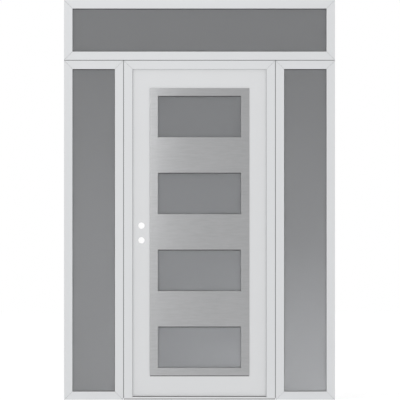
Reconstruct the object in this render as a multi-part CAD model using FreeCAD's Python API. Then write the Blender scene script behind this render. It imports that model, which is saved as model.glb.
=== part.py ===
"""Entry door with two sidelights and a transom light above.

Millimetres. X runs to the right seen from outside, Y runs inwards, Z runs up. The origin lies
under the middle of the threshold, halfway through the depth of the frame.
"""

import FreeCAD
import Part

import os

# Units of the assembly
door_unit_width = 908.0
sidelight_width = 356.0
lower_unit_height = 2037.0
transom_height = 360.0
unit_gap = 3.0
frame_depth = 70.0

# Frame section of the fixed lights
light_face = 51.0
light_lip_depth = 12.0
light_lip_overlap = 15.0
sight_round = 1.5
outer_round = 1.0
mitre_bevel = 0.8
coupling_groove_width = 16.0
coupling_groove_depth = 8.0
coupling_clearance = 0.3

# Glass of the fixed lights, held by beads from inside
light_pane = 6.0
light_cavity = 20.0
glass_edge_clearance = 5.0
spacer_width = 12.0
bead_nose = 6.0
bead_top_width = 5.0
bead_foot_width = 6.0
bead_foot_depth = 3.0
bead_foot_offset = 4.0
bead_clearance = 0.3
bead_end_gap = 0.25
bead_round = 1.0

# Frame section of the door
door_face = 52.0
door_lip_depth = 6.0
door_lip_overlap = 18.0
seal_gap = 5.0
seal_groove_width = 3.0
seal_groove_depth = 4.0
seal_bulb_width = 8.0
seal_bulb_round = 2.0
seal_fin = 1.2
seal_fin_reach = 1.0
seal_reach_gap = 0.3
seal_clearance = 0.15

# Threshold
threshold_thickness = 12.0
threshold_lip_height = 7.0
threshold_lip_round = 1.5
tread_rib_pitch = 4.0
tread_rib_foot = 2.0
tread_rib_top = 1.0
tread_rib_height = 0.8
tread_rib_margin = 2.5
tread_end_gap = 2.0
thermal_break_width = 8.0
thermal_break_place = 27.0
break_key_height = 4.0
break_key_depth = 2.0

# Door leaf
leaf_edge_gap = 6.0
leaf_floor_gap = 11.0
latch_bevel = 3.0
skin_thickness = 1.5
sweep_width = 14.0
sweep_clearance = 0.3
sweep_floor_gap = 1.2
sweep_body_height = 2.5
sweep_stem_width = 9.0
sweep_stem_height = 6.0
sweep_fin = 2.0
sweep_fin_tip = 0.8
sweep_end_gap = 3.0

# Windows and steel panels of the leaf
stile_width = 152.0
window_height = 248.0
window_sill = 169.5
window_head = 172.0
window_count = 4
cutout_margin = 13.0
panel_side_margin = 50.0
panel_end_margin = 46.0
panel_thickness = 3.0
panel_return = 1.5
panel_edge_round = 1.0
window_recess = 10.0
door_pane = 4.0
door_spacer_width = 9.0
door_glass_clearance = 2.0

# Holes for the lever and the lock cylinder, pocket of the lock, and the strike opposite
lock_bore = 38.0
lock_backset = 65.0
lock_bore_spacing = 88.0
lock_bore_height = 935.0
lock_case_thickness = 17.0
lock_case_reach = 22.0
lock_case_end = 50.0
lock_plate_width = 20.0
lock_plate_depth = 3.0
lock_plate_end = 22.0
strike_depth = 2.5
strike_hole_width = 12.0
strike_hole_height = 30.0
strike_hole_depth = 16.0

# Hinges
hinge_length = 100.0
hinge_end_distance = 225.0
hinge_standoff = 9.0
knuckle_radius = 8.0
knuckle_share = 0.4
knuckle_gap = 0.5
pin_radius = 4.0
pin_clearance = 0.05
pin_cap_height = 3.0
hinge_plate_width = 24.0
hinge_plate_thickness = 3.0
hinge_plate_gap = 1.0
hinge_plate_round = 3.0

# Places worked out from the sizes
outer_y = -frame_depth / 2
inner_y = frame_depth / 2
door_half = door_unit_width / 2
overall_width = door_unit_width + 2 * (unit_gap + sidelight_width)
transom_bottom = lower_unit_height + unit_gap
rebate_floor = light_face - light_lip_overlap
bead_start = light_lip_depth + 2 * light_pane + light_cavity
door_rebate = door_face - door_lip_overlap
leaf_half = door_half - door_rebate - leaf_edge_gap
leaf_bottom = threshold_thickness + leaf_floor_gap
leaf_top = lower_unit_height - door_rebate - leaf_edge_gap
leaf_outer_y = outer_y + door_lip_depth + seal_gap
leaf_inner_y = inner_y
leaf_middle_y = (leaf_outer_y + leaf_inner_y) / 2
core_outer_y = leaf_outer_y + skin_thickness
core_inner_y = leaf_inner_y - skin_thickness
cutout_half = leaf_half - stile_width
window_half = cutout_half - cutout_margin
first_sill = leaf_bottom + window_sill
last_sill = leaf_top - window_head - window_height
window_pitch = (last_sill - first_sill) / (window_count - 1)
glass_outer_y = leaf_outer_y - panel_thickness + window_recess
glass_inner_y = leaf_inner_y + panel_thickness - window_recess
door_cavity = (glass_inner_y - glass_outer_y - 3 * door_pane) / 2
hinge_x = leaf_half + leaf_edge_gap / 2
hinge_y = leaf_inner_y + hinge_standoff

AXIS_X = FreeCAD.Vector(1, 0, 0)
AXIS_Y = FreeCAD.Vector(0, 1, 0)

# How far cutting blocks reach past what they cut, and how near two places count as one
OVER = 1.0
NEAR = 0.001


def box(low, high):
    """Block between two corners."""
    size = [high[i] - low[i] for i in range(3)]
    return Part.makeBox(*size, FreeCAD.Vector(*low))


def prism(points, run):
    """Solid swept straight along run from a closed outline of points."""
    corners = [FreeCAD.Vector(*p) for p in points]
    outline = Part.makePolygon(corners + corners[:1])
    return Part.Face(outline).extrude(FreeCAD.Vector(*run))


def rod(radius, x, y, low, high):
    """Upright cylinder."""
    return Part.makeCylinder(radius, high - low, FreeCAD.Vector(x, y, low))


def ring(low, high, width):
    """Upright rectangular ring between two corners, width wide all round."""
    hole_low = (low[0] + width, low[1] - OVER, low[2] + width)
    hole_high = (high[0] - width, high[1] + OVER, high[2] - width)
    return box(low, high).cut(box(hole_low, hole_high))


def round_edges(solid, rounds):
    """Rounds the edges along X that pass through (inwards, deep) spots, each by its own radius."""
    for (inwards, deep), radius in rounds.items():
        picked = [
            edge
            for edge in solid.Edges
            if all(abs(v.Y - deep) < NEAR and abs(v.Z - inwards) < NEAR for v in edge.Vertexes)
        ]
        solid = solid.makeFillet(radius, picked)
    return solid


def bar(section, length, mitres=(True, True), end_gap=0.0, rounds=None):
    """Bar along X whose section is given as (inwards, deep) points, inwards along Z and deep along Y."""
    points = [(-OVER, deep, inwards) for inwards, deep in section]
    solid = round_edges(prism(points, (length + 2 * OVER, 0, 0)), rounds or {})
    reach = max(inwards for inwards, deep in section) + OVER
    start, end = (1 if mitred else 0 for mitred in mitres)
    outline = [
        (end_gap - OVER * start, -OVER, -OVER),
        (length - end_gap + OVER * end, -OVER, -OVER),
        (length - end_gap - reach * end, -OVER, reach),
        (end_gap + reach * start, -OVER, reach),
    ]
    return solid.common(prism(outline, (0, frame_depth + 2 * OVER, 0)))


def mitre_wedge(reach):
    """Wedge that bevels the front edge of a mitre running from the origin along X and Z."""
    diagonal = 2 ** 0.5
    side = mitre_bevel / diagonal
    corners = [
        (side, -diagonal * OVER, -side - 2 * OVER),
        (-2 * OVER, mitre_bevel + diagonal * OVER, 0),
        (-2 * OVER, -diagonal * OVER, 0),
    ]
    return prism(corners, (reach, 0, reach))


def bevel_mitres(solid, length, mitres=(True, True)):
    """Bevels the front and back edges of the mitred ends, so that a corner shows a fine V line."""
    start = mitre_wedge(solid.BoundBox.ZMax + 3 * OVER)
    end = start.mirror(AXIS_X * (length / 2), AXIS_X)
    fronts = [wedge for wedge, mitred in zip((start, end), mitres) if mitred]
    backs = [wedge.mirror(AXIS_Y * (frame_depth / 2), AXIS_Y) for wedge in fronts]
    return solid.cut(Part.makeCompound(fronts + backs))


def placed(solid, side, x, z, width, height):
    """Puts a bar on one side of the unit whose lower left corner is at x, z."""
    corner, turn = {
        "bottom": ((x, z), 0),
        "right": ((x + width, z), -90),
        "top": ((x + width, z + height), 180),
        "left": ((x, z + height), 90),
    }[side]
    moved = solid.copy()
    moved.rotate(FreeCAD.Vector(), AXIS_Y, turn)
    moved.translate(FreeCAD.Vector(corner[0], outer_y, corner[1]))
    return moved


def side_length(side, width, height):
    """Length of the bar on one side of a unit."""
    return width if side in ("bottom", "top") else height


def coupling_groove():
    """Groove round the outside of every frame, listed from the back to the front."""
    middle = frame_depth / 2
    half = coupling_groove_width / 2
    return [
        (0, middle + half),
        (coupling_groove_depth, middle + half),
        (coupling_groove_depth, middle - half),
        (0, middle - half),
    ]


def light_section():
    """Frame of a fixed light: outer lip, glass rebate and the groove that the bead snaps into."""
    foot = bead_start + bead_foot_offset
    groove = rebate_floor - bead_foot_depth
    return [
        (0, 0),
        (light_face, 0),
        (light_face, light_lip_depth),
        (rebate_floor, light_lip_depth),
        (rebate_floor, foot),
        (groove, foot),
        (groove, foot + bead_foot_width),
        (rebate_floor, foot + bead_foot_width),
        (rebate_floor, frame_depth),
        (0, frame_depth),
    ] + coupling_groove()


def bead_section():
    """Sloped glazing bead with its foot in the groove of the frame."""
    foot = bead_start + bead_foot_offset + bead_clearance
    foot_end = foot + bead_foot_width - 2 * bead_clearance
    foot_tip = rebate_floor - bead_foot_depth + bead_clearance
    return [
        (rebate_floor, bead_start),
        (light_face, bead_start),
        (light_face, bead_start + bead_nose),
        (rebate_floor + bead_top_width, frame_depth),
        (rebate_floor, frame_depth),
        (rebate_floor, foot_end),
        (foot_tip, foot_end),
        (foot_tip, foot),
        (rebate_floor, foot),
    ]


def door_section():
    """Frame of the door: outer lip with a groove for the seal, and the rebate that the leaf closes into."""
    middle = door_rebate + door_lip_overlap / 2
    half = seal_groove_width / 2
    return [
        (0, 0),
        (door_face, 0),
        (door_face, door_lip_depth),
        (middle + half, door_lip_depth),
        (middle + half, door_lip_depth - seal_groove_depth),
        (middle - half, door_lip_depth - seal_groove_depth),
        (middle - half, door_lip_depth),
        (door_rebate, door_lip_depth),
        (door_rebate, frame_depth),
        (0, frame_depth),
    ] + coupling_groove()


def frame_rounds(face, inner_edge):
    """Rounded edges of a frame bar: the outer corners, the sight line and an edge on the inner face."""
    return {
        (0, 0): outer_round,
        (0, frame_depth): outer_round,
        (face, 0): sight_round,
        (inner_edge, frame_depth): outer_round,
    }


def bead_rounds():
    """Rounded edge of the bead's nose."""
    return {(light_face, bead_start + bead_nose): bead_round}


def seal_section():
    """Weatherstrip: a stem in the groove of the lip, a bulb against the leaf and a fin past the lip."""
    middle = door_rebate + door_lip_overlap / 2
    stem = seal_groove_width / 2 - seal_clearance
    half = seal_bulb_width / 2
    stem_end = door_lip_depth - seal_groove_depth + seal_clearance
    bulb_end = door_lip_depth + seal_gap - seal_reach_gap
    fin_start = (door_lip_depth + bulb_end - seal_fin) / 2
    fin_end = fin_start + seal_fin
    return [
        (middle - stem, stem_end),
        (middle + stem, stem_end),
        (middle + stem, door_lip_depth),
        (middle + half, door_lip_depth),
        (middle + half, fin_start),
        (door_face + seal_fin_reach, fin_start),
        (door_face + seal_fin_reach, fin_end),
        (middle + half, fin_end),
        (middle + half, bulb_end),
        (middle - half, bulb_end),
        (middle - half, door_lip_depth),
        (middle - stem, door_lip_depth),
    ]


def seal_rounds():
    """Rounded far corner of the bulb."""
    bulb_end = door_lip_depth + seal_gap - seal_reach_gap
    middle = door_rebate + door_lip_overlap / 2
    return {(middle - seal_bulb_width / 2, bulb_end): seal_bulb_round}


def fixed_light(name, x, z, width, height, side_names):
    """Frame bars, panes and beads of one fixed light."""
    nodes = {}
    beads = []
    for side, side_name in side_names.items():
        length = side_length(side, width, height)
        rounds = frame_rounds(light_face, rebate_floor)
        frame_bar = bevel_mitres(bar(light_section(), length, rounds=rounds), length)
        nodes[f"{name}_{side_name}"] = placed(frame_bar, side, x, z, width, height)
        bead = bar(bead_section(), length, end_gap=bead_end_gap, rounds=bead_rounds())
        beads.append(placed(bead, side, x, z, width, height))
    nodes[f"{name}_beads"] = Part.makeCompound(beads)
    nodes[f"{name}_panes"] = Part.makeCompound(light_panes(x, z, width, height))
    return nodes


def light_panes(x, z, width, height):
    """Outer and inner pane of one fixed light."""
    edge = rebate_floor + glass_edge_clearance
    outer = outer_y + light_lip_depth
    inner = outer + light_pane + light_cavity
    return [
        box((x + edge, y, z + edge), (x + width - edge, y + light_pane, z + height - edge))
        for y in (outer, inner)
    ]


def light_spacer(x, z, width, height):
    """Spacer that keeps the two panes of one fixed light apart, out of sight behind the lip."""
    edge = rebate_floor + glass_edge_clearance
    outer = outer_y + light_lip_depth + light_pane
    low = (x + edge, outer, z + edge)
    high = (x + width - edge, outer + light_cavity, z + height - edge)
    return ring(low, high, spacer_width - glass_edge_clearance)


def fixed_lights():
    """Transom and sidelights, and the spacers inside their glass."""
    left = -overall_width / 2
    right = overall_width / 2 - sidelight_width
    transom = (left, transom_bottom, overall_width, transom_height)
    left_light = (left, 0, sidelight_width, lower_unit_height)
    right_light = (right, 0, sidelight_width, lower_unit_height)
    ends = {"bottom": "bottom_rail", "top": "top_rail"}
    nodes = {}
    nodes |= fixed_light("transom", *transom, ends | {"left": "left_stile", "right": "right_stile"})
    nodes |= fixed_light(
        "left_sidelight", *left_light, ends | {"left": "outer_stile", "right": "inner_stile"}
    )
    nodes |= fixed_light(
        "right_sidelight", *right_light, ends | {"left": "inner_stile", "right": "outer_stile"}
    )
    spacers = [light_spacer(*unit) for unit in (transom, left_light, right_light)]
    nodes["fixed_light_spacers"] = Part.makeCompound(spacers)
    return nodes


def door_frame():
    """Jambs and head of the door, mitred at the top and standing on the threshold, with their seal."""
    unit = (-door_half, threshold_thickness, door_unit_width, lower_unit_height - threshold_thickness)
    sides = {
        "left": ("latch_jamb", (True, False)),
        "top": ("door_head", (True, True)),
        "right": ("hinge_jamb", (False, True)),
    }
    nodes = {}
    seals = []
    for side, (node, mitres) in sides.items():
        length = side_length(side, *unit[2:])
        rounds = frame_rounds(door_face, door_rebate)
        frame_bar = bevel_mitres(bar(door_section(), length, mitres, rounds=rounds), length, mitres)
        nodes[node] = placed(frame_bar, side, *unit)
        seal = bar(seal_section(), length, mitres, end_gap=seal_clearance, rounds=seal_rounds())
        seals.append(placed(seal, side, *unit))
    nodes["latch_jamb"] = nodes["latch_jamb"].cut(strike_recess())
    nodes["door_weatherstrip"] = Part.makeCompound(seals)
    return nodes


def tread_ribs(y_low, y_high, half_length):
    """Low ribs along the sill, as many as fit between two depths."""
    room = y_high - y_low - 2 * tread_rib_margin - tread_rib_foot
    count = int(room / tread_rib_pitch) + 1
    first = (y_low + y_high - (count - 1) * tread_rib_pitch) / 2
    outline = [
        (-tread_rib_foot / 2, 0),
        (tread_rib_foot / 2, 0),
        (tread_rib_top / 2, tread_rib_height),
        (-tread_rib_top / 2, tread_rib_height),
    ]
    return [
        prism(
            [(-half_length, first + tread_rib_pitch * k + y, threshold_thickness + z) for y, z in outline],
            (2 * half_length, 0, 0),
        )
        for k in range(count)
    ]


def threshold():
    """Outer and inner sill with ribs, a keyed plastic break between them and a raised stop outside."""
    break_start = outer_y + thermal_break_place - thermal_break_width / 2
    break_end = break_start + thermal_break_width
    key_low = (threshold_thickness - break_key_height) / 2
    key_high = key_low + break_key_height
    run = (door_unit_width, 0, 0)
    left = -door_half

    def at(points):
        return [(left, y, z) for y, z in points]

    outer = prism(at([
        (outer_y, 0),
        (break_start, 0),
        (break_start, key_low),
        (break_start - break_key_depth, key_low),
        (break_start - break_key_depth, key_high),
        (break_start, key_high),
        (break_start, threshold_thickness),
        (outer_y, threshold_thickness),
    ]), run)
    stop_half = door_half - door_face
    stop_y = outer_y + door_lip_depth
    stop_top = threshold_thickness + threshold_lip_height
    stop = box((-stop_half, outer_y, threshold_thickness), (stop_half, stop_y, stop_top))
    stop = round_edges(stop, {(stop_top, outer_y): threshold_lip_round})
    tread_half = stop_half - tread_end_gap
    inner = prism(at([
        (break_end, 0),
        (inner_y, 0),
        (inner_y, threshold_thickness),
        (break_end, threshold_thickness),
        (break_end, key_high),
        (break_end + break_key_depth, key_high),
        (break_end + break_key_depth, key_low),
        (break_end, key_low),
    ]), run)
    thermal_break = box((left, break_start, 0), (door_half, break_end, threshold_thickness))
    key = box(
        (left, break_start - break_key_depth, key_low),
        (door_half, break_end + break_key_depth, key_high),
    )
    outer = outer.fuse([stop] + tread_ribs(stop_y, break_start, tread_half)).removeSplitter()
    inner = inner.fuse(tread_ribs(break_end, inner_y, tread_half)).removeSplitter()
    return {
        "threshold": Part.makeCompound([outer, inner]),
        "threshold_thermal_break": thermal_break.fuse(key).removeSplitter(),
    }


def coupling_strips():
    """Strips in the grooves between the units: one across under the transom, one beside each jamb."""
    reach = coupling_groove_depth - coupling_clearance
    half_depth = coupling_groove_width / 2 - coupling_clearance
    across = box(
        (-overall_width / 2, -half_depth, lower_unit_height - reach),
        (overall_width / 2, half_depth, transom_bottom + reach),
    )
    top = lower_unit_height - coupling_groove_depth - coupling_clearance
    low_x = door_half - reach
    high_x = door_half + unit_gap + reach
    right = box((low_x, -half_depth, threshold_thickness), (high_x, half_depth, top))
    left = box((-high_x, -half_depth, threshold_thickness), (-low_x, half_depth, top))
    return {"coupling_strips": Part.makeCompound([across, left, right])}


def window_sills():
    """Heights of the lower edges of the windows in the leaf."""
    return [first_sill + window_pitch * k for k in range(window_count)]


def window_block(margin, y_low, y_high, sill):
    """Block as large as one window, widened by a margin on every side."""
    half = window_half + margin
    return box((-half, y_low, sill - margin), (half, y_high, sill + window_height + margin))


def lock_heights():
    """Heights of the cylinder and of the lever."""
    low = leaf_bottom + lock_bore_height
    return low, low + lock_bore_spacing


def lock_bores():
    """Round holes through the lock stile for the lever and for the cylinder."""
    x = lock_backset - leaf_half
    depth = leaf_inner_y - leaf_outer_y + 2 * OVER
    return [
        Part.makeCylinder(lock_bore / 2, depth, FreeCAD.Vector(x, leaf_outer_y - OVER, z), AXIS_Y)
        for z in lock_heights()
    ]


def lock_slot(x_low, x_high, width, extra_end):
    """Upright slot in the middle of the leaf's thickness, longer at each end than the lock's case."""
    low, high = lock_heights()
    half = width / 2
    end = lock_case_end + extra_end
    return box((x_low, leaf_middle_y - half, low - end), (x_high, leaf_middle_y + half, high + end))


def lock_pocket():
    """Pocket for the case of the lock, crossed by both bores, and a recess for its plate at the edge."""
    mouth = -leaf_half - OVER
    case = lock_slot(mouth, lock_backset + lock_case_reach - leaf_half, lock_case_thickness, 0)
    plate_end = latch_edge(leaf_middle_y) + lock_plate_depth
    return case.fuse(lock_slot(mouth, plate_end, lock_plate_width, lock_plate_end))


def strike_recess():
    """Recess for the strike plate in the jamb, with holes for the latch and the bolt."""
    face = door_rebate - door_half
    half = strike_hole_width / 2
    holes = [
        box(
            (face - strike_hole_depth, leaf_middle_y - half, z - strike_hole_height / 2),
            (face, leaf_middle_y + half, z + strike_hole_height / 2),
        )
        for z in lock_heights()
    ]
    return lock_slot(face - strike_depth, face + OVER, lock_plate_width, lock_plate_end).fuse(holes)


def sweep_groove():
    """Groove along the underside of the leaf that holds the sweep."""
    half = sweep_stem_width / 2
    return box(
        (-leaf_half - OVER, leaf_middle_y - half, leaf_bottom - OVER),
        (leaf_half + OVER, leaf_middle_y + half, leaf_bottom + sweep_stem_height),
    )


def latch_edge(y):
    """X of the bevelled latch edge, which leans back towards the outside."""
    share = (leaf_inner_y - y) / (leaf_inner_y - leaf_outer_y)
    return -leaf_half + latch_bevel * share


def leaf_core():
    """Stiles and rails between the skins of the leaf."""
    rise = (0, 0, leaf_top - leaf_bottom)
    lock_stile = prism(
        [
            (latch_edge(core_outer_y), core_outer_y, leaf_bottom),
            (-cutout_half, core_outer_y, leaf_bottom),
            (-cutout_half, core_inner_y, leaf_bottom),
            (latch_edge(core_inner_y), core_inner_y, leaf_bottom),
        ],
        rise,
    )
    lock_stile = lock_stile.cut(Part.makeCompound(lock_bores())).cut(lock_pocket())
    hinge_stile = box((cutout_half, core_outer_y, leaf_bottom), (leaf_half, core_inner_y, leaf_top))
    starts = [leaf_bottom] + [sill + window_height + cutout_margin for sill in window_sills()]
    ends = [sill - cutout_margin for sill in window_sills()] + [leaf_top]
    rails = [
        box((-cutout_half, core_outer_y, low), (cutout_half, core_inner_y, high))
        for low, high in zip(starts, ends)
    ]
    rails[0] = rails[0].cut(sweep_groove())
    return {
        "leaf_lock_stile": lock_stile.cut(sweep_groove()),
        "leaf_hinge_stile": hinge_stile.cut(sweep_groove()),
        "leaf_rails": Part.makeCompound(rails),
    }


def leaf_skin(y_low, y_high, latch_x):
    """Sheet over one side of the leaf, open at the windows and the lock."""
    sheet = box((latch_x, y_low, leaf_bottom), (leaf_half, y_high, leaf_top))
    cuts = [window_block(cutout_margin, y_low - OVER, y_high + OVER, sill) for sill in window_sills()]
    return sheet.cut(Part.makeCompound(cuts + lock_bores()))


def steel_panel():
    """Brushed panel on the outside of the leaf, folded back round each window down to the glass."""
    front = leaf_outer_y - panel_thickness
    half = window_half + panel_side_margin
    low = (-half, front, first_sill - panel_end_margin)
    high = (half, leaf_outer_y, last_sill + window_height + panel_end_margin)
    panel = box(low, high)
    for sill in window_sills():
        panel = panel.fuse(window_block(panel_return, front, glass_outer_y, sill))
    for sill in window_sills():
        panel = panel.cut(window_block(0, front - OVER, glass_outer_y + OVER, sill))
    panel = panel.removeSplitter()
    rim = [
        edge
        for edge in panel.Edges
        if all(abs(vertex.Y - front) < NEAR for vertex in edge.Vertexes)
    ]
    return panel.makeFillet(panel_edge_round, rim)


def leaf_glass():
    """Triple glass of the windows in the leaf: three rows of panes and the spacers between them."""
    margin = cutout_margin - door_glass_clearance
    step = door_pane + door_cavity
    panes = [
        Part.makeCompound([
            window_block(margin, glass_outer_y + step * k, glass_outer_y + step * k + door_pane, sill)
            for sill in window_sills()
        ])
        for k in range(3)
    ]
    spacers = []
    for sill in window_sills():
        for k in range(2):
            start = glass_outer_y + door_pane + step * k
            outline = window_block(margin, start, start + door_cavity, sill)
            inset = margin - door_spacer_width
            hole = window_block(inset, start - OVER, start + door_cavity + OVER, sill)
            spacers.append(outline.cut(hole))
    return {
        "door_window_outer_panes": panes[0],
        "door_window_middle_panes": panes[1],
        "door_window_inner_panes": panes[2],
        "door_window_spacers": Part.makeCompound(spacers),
    }


def door_sweep():
    """Seal under the leaf: a stem in the groove, a body against the leaf and two fins towards the sill."""
    half = sweep_width / 2
    stem = sweep_stem_width / 2 - sweep_clearance
    body = leaf_bottom - sweep_body_height
    tip = threshold_thickness + tread_rib_height + sweep_floor_gap
    stem_top = leaf_bottom + sweep_stem_height - sweep_clearance
    outline = [
        (-half, tip),
        (sweep_fin_tip - half, tip),
        (sweep_fin - half, body),
        (half - sweep_fin, body),
        (half - sweep_fin_tip, tip),
        (half, tip),
        (half, leaf_bottom),
        (stem, leaf_bottom),
        (stem, stem_top),
        (-stem, stem_top),
        (-stem, leaf_bottom),
        (-half, leaf_bottom),
    ]
    start = latch_edge(leaf_outer_y) + sweep_end_gap
    points = [(start, leaf_middle_y + y, z) for y, z in outline]
    return prism(points, (leaf_half - sweep_end_gap - start, 0, 0))


def hinge_plate(side, low, high):
    """Plate of one hinge half on the inner face, side 1 on the jamb and -1 on the leaf."""
    near = hinge_x + side * (knuckle_radius + hinge_plate_gap)
    far = near + side * hinge_plate_width
    corner_low = (min(near, far), leaf_inner_y, low)
    corner_high = (max(near, far), leaf_inner_y + hinge_plate_thickness, high)
    plate = box(corner_low, corner_high)
    far_corners = [
        edge
        for edge in plate.Edges
        if edge.BoundBox.ZLength < NEAR and abs(edge.BoundBox.Center.x - far) < NEAR
    ]
    return plate.makeFillet(hinge_plate_round, far_corners)


def hinge_knuckle(side, low, high):
    """Barrel and the curl that joins it to its plate."""
    near = hinge_x + side * (knuckle_radius + hinge_plate_gap)
    edge = hinge_x + side * leaf_edge_gap / 2
    back = leaf_inner_y + hinge_plate_thickness
    curl = prism(
        [
            (near, leaf_inner_y, low),
            (edge, leaf_inner_y, low),
            (hinge_x, back, low),
            (hinge_x, hinge_y, low),
            (hinge_x + side * knuckle_radius, hinge_y, low),
            (near, back, low),
        ],
        (0, 0, high - low),
    )
    return rod(knuckle_radius, hinge_x, hinge_y, low, high).fuse(curl)


def hinge(name, middle):
    """One hinge: the frame half has the outer knuckles and the pin, the leaf half turns on the pin."""
    low = middle - hinge_length / 2
    high = middle + hinge_length / 2
    leaf_low = middle - hinge_length * knuckle_share / 2
    leaf_high = middle + hinge_length * knuckle_share / 2
    frame_half = hinge_plate(1, low, high)
    frame_half = frame_half.fuse(hinge_knuckle(1, low, leaf_low - knuckle_gap))
    frame_half = frame_half.fuse(hinge_knuckle(1, leaf_high + knuckle_gap, high))
    frame_half = frame_half.fuse(rod(pin_radius, hinge_x, hinge_y, low - pin_cap_height, high))
    cap = Part.makeCone(
        knuckle_radius, pin_radius, pin_cap_height, FreeCAD.Vector(hinge_x, hinge_y, high)
    )
    leaf_half_solid = hinge_plate(-1, low, high).fuse(hinge_knuckle(-1, leaf_low, leaf_high))
    hole = rod(pin_radius + pin_clearance, hinge_x, hinge_y, leaf_low - OVER, leaf_high + OVER)
    return {
        f"{name}_hinge_frame_half": frame_half.fuse(cap).removeSplitter(),
        f"{name}_hinge_leaf_half": leaf_half_solid.cut(hole).removeSplitter(),
    }


def hinges():
    """Three hinges on the inner face: near the ends of the leaf and in its middle."""
    heights = {
        "bottom": leaf_bottom + hinge_end_distance,
        "middle": (leaf_bottom + leaf_top) / 2,
        "top": leaf_top - hinge_end_distance,
    }
    nodes = {}
    for name, height in heights.items():
        nodes |= hinge(name, height)
    return nodes


def door_leaf():
    """All pieces that swing with the leaf, apart from the hinges."""
    nodes = leaf_core()
    nodes["leaf_outer_skin"] = leaf_skin(leaf_outer_y, core_outer_y, latch_edge(leaf_outer_y))
    nodes["leaf_inner_skin"] = leaf_skin(core_inner_y, leaf_inner_y, latch_edge(leaf_inner_y))
    outer_panel = steel_panel()
    nodes["outer_steel_panel"] = outer_panel
    nodes["inner_steel_panel"] = outer_panel.mirror(FreeCAD.Vector(0, leaf_middle_y, 0), AXIS_Y)
    nodes |= leaf_glass()
    nodes["door_sweep"] = door_sweep()
    return nodes


def main():
    nodes = fixed_lights() | door_frame() | threshold() | coupling_strips()
    nodes |= door_leaf() | hinges()
    os.makedirs("parts", exist_ok=True)
    for name, shape in nodes.items():
        shape.exportStep(f"parts/{name}.step")


main()
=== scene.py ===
"""Entry door with sidelights and a transom: finishes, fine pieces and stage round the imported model."""

import math

import bmesh
import bpy
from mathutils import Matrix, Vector


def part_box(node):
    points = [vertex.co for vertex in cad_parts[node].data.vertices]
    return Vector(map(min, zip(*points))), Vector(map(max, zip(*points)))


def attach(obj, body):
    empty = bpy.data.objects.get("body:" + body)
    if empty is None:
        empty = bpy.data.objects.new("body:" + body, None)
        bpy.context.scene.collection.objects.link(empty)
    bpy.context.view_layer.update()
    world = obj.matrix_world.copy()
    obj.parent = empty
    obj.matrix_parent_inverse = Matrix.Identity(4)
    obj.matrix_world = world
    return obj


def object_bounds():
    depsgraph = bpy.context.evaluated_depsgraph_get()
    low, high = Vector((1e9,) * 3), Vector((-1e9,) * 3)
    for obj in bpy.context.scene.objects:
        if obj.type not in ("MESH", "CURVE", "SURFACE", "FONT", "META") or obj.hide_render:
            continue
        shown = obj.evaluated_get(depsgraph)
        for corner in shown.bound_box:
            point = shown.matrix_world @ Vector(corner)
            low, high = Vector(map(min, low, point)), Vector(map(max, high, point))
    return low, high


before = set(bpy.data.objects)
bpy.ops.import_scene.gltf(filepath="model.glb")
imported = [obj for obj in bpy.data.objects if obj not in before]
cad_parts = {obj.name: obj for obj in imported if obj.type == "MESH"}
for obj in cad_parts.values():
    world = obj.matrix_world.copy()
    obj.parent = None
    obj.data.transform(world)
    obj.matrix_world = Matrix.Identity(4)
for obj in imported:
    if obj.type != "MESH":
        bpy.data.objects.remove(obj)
cad_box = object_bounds()

bl_info = {
    "name": "Entry door with sidelights",
    "version": (1, 0, 0),
    "blender": (4, 5, 0),
    "location": "3D View > Sidebar > Door",
    "description": "Dresses the packed door, its sidelights and its transom, and sets up the studio",
    "category": "Object",
}

# The fixed lights, each with its left and right stile as seen from outside
LIGHT_STILES = {
    "transom": ("left_stile", "right_stile"),
    "left_sidelight": ("outer_stile", "inner_stile"),
    "right_sidelight": ("inner_stile", "outer_stile"),
}

# Names of the nodes that share a finish
LIGHT_BARS = [
    f"{light}_{bar}"
    for light, stiles in LIGHT_STILES.items()
    for bar in ("top_rail", "bottom_rail", *stiles)
]
BEADS = [f"{light}_beads" for light in LIGHT_STILES]
DOOR_FRAME_BARS = ["door_head", "latch_jamb", "hinge_jamb"]
LIGHT_PANES = [f"{light}_panes" for light in LIGHT_STILES]
WINDOW_PANES = [f"door_window_{row}_panes" for row in ("outer", "middle", "inner")]
SPACERS = ["fixed_light_spacers", "door_window_spacers"]
SKINS = ["leaf_outer_skin", "leaf_inner_skin"]
CORE = ["leaf_lock_stile", "leaf_hinge_stile", "leaf_rails"]
STEEL_PANELS = ["outer_steel_panel", "inner_steel_panel"]
HINGES = ["top", "middle", "bottom"]
HINGE_HALVES = [f"{place}_hinge_{half}_half" for place in HINGES for half in ("frame", "leaf")]

# Noise cells per metre along X, Y and Z: the brushing runs along the axis that has the fewest
PANEL_BRUSHING = (14.0, 900.0, 130.0)
SILL_BRUSHING = (8.0, 900.0, 900.0)
HINGE_BRUSHING = (1200.0, 1200.0, 30.0)

# How much the roughness varies over a finish, how deep its relief is, and how strongly that shows
COATING_SPREAD, COATING_RELIEF, COATING_BUMP = 0.08, 0.0002, 0.15
BRUSHING_SPREAD, BRUSHING_RELIEF, BRUSHING_BUMP = 0.1, 0.0001, 0.2
ETCHING_SPREAD, ETCHING_RELIEF, ETCHING_BUMP = 0.06, 0.0001, 0.1

# Specular level of the coatings, and the glass's index of refraction
COATING_GLOSS = 0.4
GLASS_IOR = 1.5

# Part that slow clouds have in the tone of brushed metal, beside one part of its lines
CLOUD_SHARE = 0.35

# Form of a screw head: its number of sides, then shares of its radius for its top and for its cross
# recess, and the share of its rise by which the cutter of that recess is lifted
SCREW_SIDES = 20
SCREW_TOP_SHARE = 0.8
RECESS_LENGTH_SHARE = 1.15
RECESS_WIDTH_SHARE = 0.24
RECESS_LIFT_SHARE = 0.7

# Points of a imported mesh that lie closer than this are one
MERGE_DISTANCE = 1e-6

# Height of the backdrop's lower part above the floor
BACKDROP_LIFT = 0.001

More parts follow.
